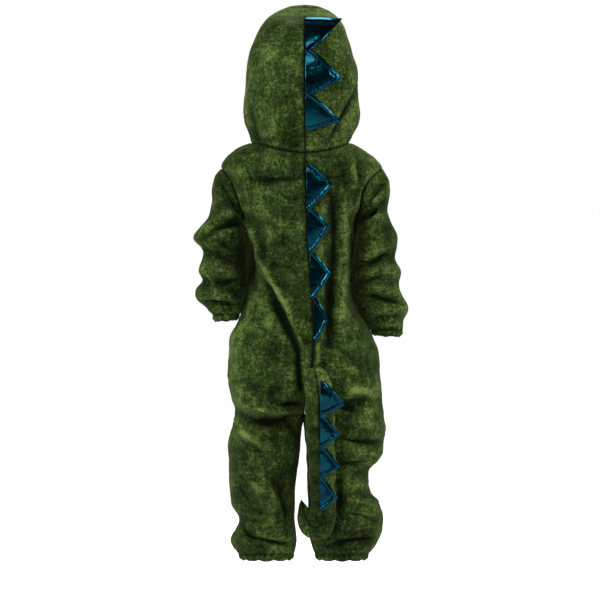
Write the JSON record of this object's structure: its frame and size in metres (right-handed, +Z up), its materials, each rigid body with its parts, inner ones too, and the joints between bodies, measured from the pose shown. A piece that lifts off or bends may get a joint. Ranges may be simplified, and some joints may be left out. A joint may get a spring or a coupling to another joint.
{
  "type": "dinosaur costume",
  "caption": "Child's hooded one-piece dinosaur costume in green plush, worn hollow form, with teal foil spikes down the back and a stuffed tail.",
  "frame": {"origin": "centre of the neck opening at the level of the neck seam, where the wearer's shoulders hold the suit up", "axes": "+Z up along the wearer, +Y the way the wearer faces, +X the wearer's right"},
  "size_m": [0.3833, 0.2532, 1.0031],
  "materials": {
    "green_plush": "mottled olive green short pile plush, matt with a soft sheen",
    "teal_foil_cloth": "teal metallic foil cloth, glossy"
  },
  "bodies": {
    "root": {"back_left": "green_plush", "back_right": "green_plush", "front_left": "green_plush", "front_right": "green_plush", "sleeve_left": "green_plush", "sleeve_right": "green_plush", "hood_left": "green_plush", "hood_right": "green_plush", "hood_brow_left": "green_plush", "hood_brow_right": "green_plush", "tail_left": "green_plush", "tail_right": "green_plush", "spike_hood_1": "teal_foil_cloth", "spike_hood_2": "teal_foil_cloth", "spike_hood_3": "teal_foil_cloth", "spike_back_1": "teal_foil_cloth", "spike_back_2": "teal_foil_cloth", "spike_back_3": "teal_foil_cloth", "spike_back_4": "teal_foil_cloth", "spike_tail_1": "teal_foil_cloth", "spike_tail_2": "teal_foil_cloth", "spike_tail_3": "teal_foil_cloth", "spike_tail_4": "teal_foil_cloth"}
  },
  "joints": []
}
